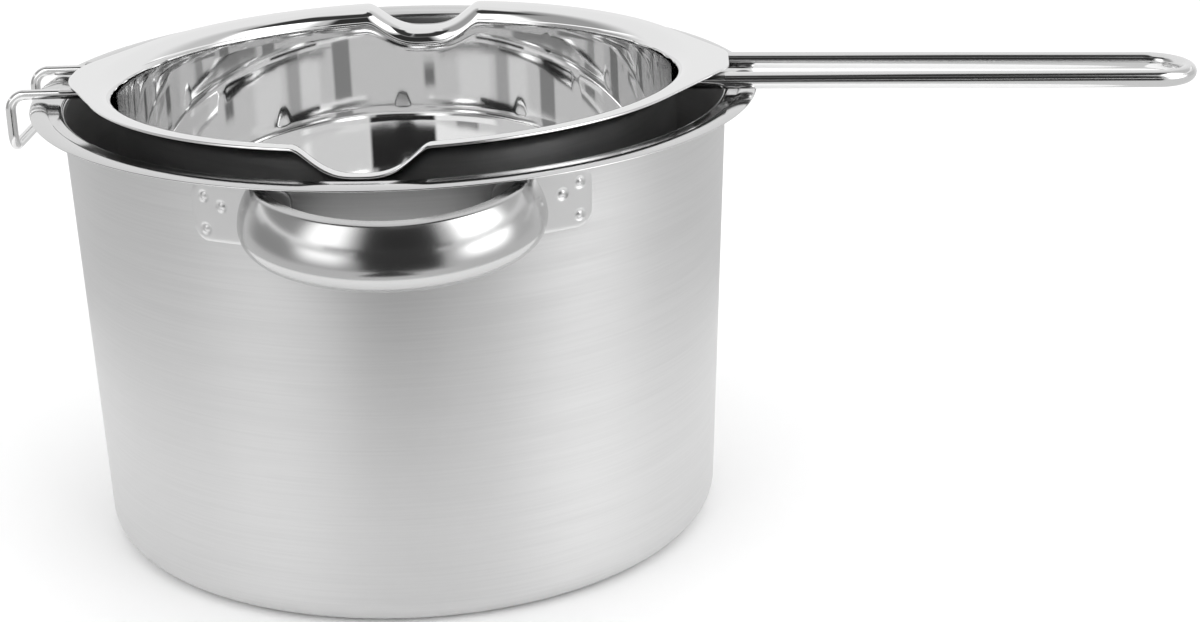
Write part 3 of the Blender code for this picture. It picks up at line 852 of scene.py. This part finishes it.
def pot_steel(name, level):
    """The pot's sheet: brushed, with a polished lip."""
    finish = steel(name, level, POT_ROUGHNESS)
    tree = finish.node_tree
    shader = tree.nodes["Principled BSDF"]
    brush = brushed(tree, shader, level)
    share = ramp(tree, own_place(tree)["Z"], FLARE_Z, FLARE_Z + FLARE_RADIUS, 1, 0)
    over_lip = maths(tree, "SUBTRACT", brush, LIP_ROUGHNESS)
    rough = maths(tree, "MULTIPLY_ADD", over_lip, share, LIP_ROUGHNESS)
    tree.links.new(rough, shader.inputs["Roughness"])
    return finish


def build_camera():
    """The camera at the photograph's place."""
    forward = Vector((
        math.sin(CAMERA_YAW) * math.cos(CAMERA_PITCH),
        math.cos(CAMERA_YAW) * math.cos(CAMERA_PITCH),
        -math.sin(CAMERA_PITCH),
    ))
    level = Vector((math.cos(CAMERA_YAW), -math.sin(CAMERA_YAW), 0))
    down = forward.cross(level)
    right = math.cos(CAMERA_ROLL) * level + math.sin(CAMERA_ROLL) * down
    below = -math.sin(CAMERA_ROLL) * level + math.cos(CAMERA_ROLL) * down
    place = Matrix((right, -below, -forward)).transposed().to_4x4()
    place.translation = CAMERA_PLACE
    data = bpy.data.cameras.new("camera")
    data.lens = CAMERA_LENS
    data.sensor_width = SENSOR_WIDTH
    camera = link(bpy.data.objects.new("camera", data))
    camera.matrix_world = place
    bpy.context.scene.camera = camera


def background(tree, strength):
    """A white background of one strength."""
    node = tree.nodes.new("ShaderNodeBackground")
    node.inputs["Color"].default_value = (1, 1, 1, 1)
    node.inputs["Strength"].default_value = strength
    return node.outputs[0]


def build_world():
    """White surroundings that camera and metal see, and the white that diffuse light comes from."""
    world = bpy.data.worlds.new("studio")
    bpy.context.scene.world = world
    world.use_nodes = True
    tree = world.node_tree
    tree.nodes.clear()
    output = tree.nodes.new("ShaderNodeOutputWorld")
    rays = tree.nodes.new("ShaderNodeLightPath").outputs
    either = maths(tree, "MAXIMUM", rays["Is Camera Ray"], rays["Is Glossy Ray"])
    any_ray = maths(tree, "MAXIMUM", either, rays["Is Transmission Ray"])
    mix = tree.nodes.new("ShaderNodeMixShader")
    tree.links.new(any_ray, mix.inputs[0])
    tree.links.new(background(tree, WORLD_FILL), mix.inputs[1])
    tree.links.new(background(tree, WORLD_SEEN), mix.inputs[2])
    tree.links.new(mix.outputs[0], output.inputs["Surface"])


def build_floor():
    """A pale floor that keeps the object's shadow."""
    mesh = bpy.data.meshes.new("floor")
    half = FLOOR_HALF
    corners = [(-half, -half, 0), (half, -half, 0), (half, half, 0), (-half, half, 0)]
    mesh.from_pydata(corners, [], [(0, 1, 2, 3)])
    floor = link(bpy.data.objects.new("floor", mesh))
    floor.location.z = -FLOOR_DROP
    paint = bpy.data.materials.new("floor_paint")
    paint.use_nodes = True
    shader = paint.node_tree.nodes["Principled BSDF"]
    shader.inputs["Base Color"].default_value = (FLOOR_LEVEL, FLOOR_LEVEL, FLOOR_LEVEL, 1)
    shader.inputs["Roughness"].default_value = FLOOR_ROUGHNESS
    shader.inputs["Specular IOR Level"].default_value = 0
    mesh.materials.append(paint)


def glowing_stage(name, points, faces):
    """A stage piece that only reflections show: returns its node tree and its glow's strength."""
    mesh = bpy.data.meshes.new(name)
    mesh.from_pydata([tuple(point) for point in points], [], faces)
    panel = link(bpy.data.objects.new(name, mesh))
    paint = bpy.data.materials.new(name)
    paint.use_nodes = True
    tree = paint.node_tree
    tree.nodes.clear()
    output = tree.nodes.new("ShaderNodeOutputMaterial")
    glow = tree.nodes.new("ShaderNodeEmission")
    tree.links.new(glow.outputs[0], output.inputs["Surface"])
    mesh.materials.append(paint)
    panel.visible_camera = False
    panel.visible_diffuse = False
    panel.visible_shadow = False
    panel.visible_transmission = False
    return tree, glow.inputs["Strength"]


def ring_point(radius, share, z):
    """A point on a level circle round the axis, by its share of a full turn."""
    angle = 2 * math.pi * share
    return radius * math.cos(angle), radius * math.sin(angle), z


def lit(tree, level, sideways, sides, upwards, rise, glow):
    """The dome's level with one panel mixed in, inside a range sideways and a range upwards."""
    share = maths(tree, "MULTIPLY", window(tree, sideways, *sides), window(tree, upwards, *rise))
    gain = maths(tree, "MULTIPLY", maths(tree, "SUBTRACT", glow, level), share)
    return maths(tree, "ADD", level, gain)


def dome_level(tree):
    """How brightly the dome glows, by azimuth and elevation."""
    x, y, z = own_place(tree)
    around_deg = maths(tree, "DEGREES", maths(tree, "ARCTAN2", x, maths(tree, "MULTIPLY", y, -1)))
    azimuth = maths(tree, "WRAP", maths(tree, "SUBTRACT", around_deg, CAMERA_SIDE), 180, -180)
    side = maths(tree, "ABSOLUTE", azimuth)
    height = maths(tree, "DIVIDE", z, DOME_RADIUS)
    elevation = maths(tree, "DEGREES", maths(tree, "ARCSINE", height))
    from_lean = maths(tree, "RADIANS", maths(tree, "SUBTRACT", azimuth, BAND_LEAN_SIDE))
    lean = maths(tree, "MULTIPLY", maths(tree, "COSINE", from_lean), BAND_LEAN)
    leaning = maths(tree, "SUBTRACT", elevation, lean)
    front = ramp(tree, azimuth, -FRONT_BLEND, FRONT_BLEND, WALL_LEFT, WALL_RIGHT)
    level = ramp(tree, side, REAR_START, REAR_FULL, front, WALL_REAR)
    panels = (
        (azimuth, LEFT_BOX_SIDES, elevation, BOX_RISE, LEFT_BOX_GLOW),
        (azimuth, RIGHT_BOX_SIDES, elevation, BOX_RISE, RIGHT_BOX_GLOW),
        (azimuth, OPENING_SIDES, elevation, OPENING_RISE, OPENING_GLOW),
        (side, ALL_ROUND, elevation, TOP_RISE, TOP_GLOW),
        (side, RIM_SIDES, elevation, RIM_RISE, RIM_GLOW),
        (side, ALL_ROUND, leaning, WALL_BAND, WALL_REAR),
        (azimuth, LEFT_BAR_SIDES, leaning, WALL_BAND, LEFT_BAR_GLOW),
        (azimuth, LEFT_SHINE_SIDES, leaning, WALL_BAND, SHINE_GLOW),
        (azimuth, RIGHT_SHINE_SIDES, leaning, WALL_BAND, SHINE_GLOW),
        (azimuth, MIDDLE_BAR_SIDES, leaning, WALL_BAND, MIDDLE_BAR_GLOW),
        (azimuth, FOOT_SIDES, leaning, LOW_WALL_BAND, FOOT_GLOW),
        (azimuth, RIGHT_BAR_SIDES, leaning, MIDDLE_WALL_BAND, RIGHT_BAR_GLOW),
        (side, FLOOR_SIDES, leaning, FLOOR_BAND, FLOOR_GLOW),
        (azimuth, FLOOR_RIGHT_SIDES, leaning, FLOOR_BAND, FLOOR_RIGHT_GLOW),
        (azimuth, FLOOR_DARK_SIDES, leaning, FLOOR_BAND, OPENING_GLOW),
    )
    for panel in panels:
        level = lit(tree, level, *panel)
    return level


def build_surround():
    """The studio that the steel reflects: soft boxes, a dark opening and pale walls."""
    points = []
    for i in range(DOME_ROWS + 1):
        rise = math.radians(DOME_LOW + DOME_SPAN * i / DOME_ROWS)
        radius = DOME_RADIUS * math.cos(rise)
        z = DOME_RADIUS * math.sin(rise)
        points += [ring_point(radius, j / DOME_COLUMNS, z) for j in range(DOME_COLUMNS)]
    tree, strength = glowing_stage("surround", points, tube_faces(DOME_ROWS, DOME_COLUMNS))
    tree.links.new(dome_level(tree), strength)


def build_card(name, low, high, level):
    """A card in front of the object, flat or upright."""
    points = [low, (high.x, low.y, low.z), high, (low.x, high.y, high.z)]
    _, strength = glowing_stage(name, points, [(0, 1, 2, 3)])
    strength.default_value = level


def build_floor_ring():
    """The floor away from the pot, as dim as the steel sees it."""
    points = []
    for radius in (RING_INNER, RING_OUTER):
        points += [ring_point(radius, i / RING_STEPS, RING_Z) for i in range(RING_STEPS)]
    _, strength = glowing_stage("floor_ring", points, tube_faces(1, RING_STEPS))
    strength.default_value = RING_GLOW


def around(azimuth, elevation, distance):
    """A place seen from the object at an azimuth from the front, towards +X, and an elevation."""
    a = math.radians(azimuth)
    e = math.radians(elevation)
    return Vector((math.sin(a) * math.cos(e), -math.cos(a) * math.cos(e), math.sin(e))) * distance


def soft_lamp(name, place, size, power):
    """A soft box that faces the object."""
    centre = around(*place)
    data = bpy.data.lights.new(name, "AREA")
    data.shape = "RECTANGLE"
    data.size, data.size_y = size
    data.energy = power
    lamp = link(bpy.data.objects.new(name, data))
    lamp.location = centre
    lamp.rotation_mode = "QUATERNION"
    lamp.rotation_quaternion = (centre - Vector((0, 0, POT_HEIGHT / 2))).to_track_quat("Z", "Y")
    lamp.visible_camera = False
    lamp.visible_glossy = False


def build_object():
    """Every visible piece; the welds under the flange keep their CAD shapes."""
    pot = pot_steel("pot_satin_steel", POT_LEVEL)
    # Darker copy of the pot's steel for its inside: painted shade.
    pot_inside_painted_shade = pot_steel("pot_inside_painted_shade_steel", POT_INSIDE_PAINTED_SHADE_LEVEL)
    grip = steel("grip_polished_steel", GRIP_LEVEL, GRIP_ROUGHNESS)
    # Near black steel for the strap's inside: painted shade.
    grip_inside_painted_shade = steel("grip_inside_painted_shade_steel", GRIP_INSIDE_PAINTED_SHADE_LEVEL, GRIP_INSIDE_ROUGHNESS)
    ear = steel("ear_satin_steel", EAR_LEVEL, EAR_ROUGHNESS)
    rod = steel("rod_polished_steel", ROD_LEVEL, ROD_ROUGHNESS)
    weld = steel("weld_steel", WELD_LEVEL, WELD_ROUGHNESS)
    build_pot_shell(pot, pot_inside_painted_shade)
    for place, side in (("front", -1), ("rear", 1)):
        build_strap(place, side, grip, grip_inside_painted_shade)
        for hand, x_side in (("left", -1), ("right", 1)):
            build_ear(place, hand, side, x_side, ear)
    build_bowl_shell(bowl_steel())
    build_handle(rod)
    build_hook(rod)
    for place in ("front", "rear"):
        for bar in ("handle", "hook"):
            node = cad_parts[f"{bar}_weld_{place}"]
            node.material_slots[0].material = weld


def build_studio():
    """World, floor, lamps and the pieces that only the steel sees."""
    build_world()
    build_floor()
    build_surround()
    build_floor_ring()
    build_card("floor_card", CARD_LOW, CARD_HIGH, CARD_GLOW)
    build_card("side_card", SIDE_CARD_LOW, SIDE_CARD_HIGH, SIDE_CARD_GLOW)
    build_card("flag", FLAG_LOW, FLAG_HIGH, CARD_GLOW)
    soft_lamp("left_box", LEFT_LAMP_PLACE, SIDE_LAMP_SIZE, LEFT_LAMP_POWER)
    soft_lamp("right_box", RIGHT_LAMP_PLACE, SIDE_LAMP_SIZE, RIGHT_LAMP_POWER)
    soft_lamp("top_box", TOP_LAMP_PLACE, TOP_LAMP_SIZE, TOP_LAMP_POWER)


def main():
    scene = bpy.context.scene
    scene.view_settings.view_transform = "Standard"
    scene.cycles.glossy_bounces = GLOSSY_BOUNCES
    scene.cycles.max_bounces = ALL_BOUNCES
    build_camera()
    build_object()
    build_studio()


main()
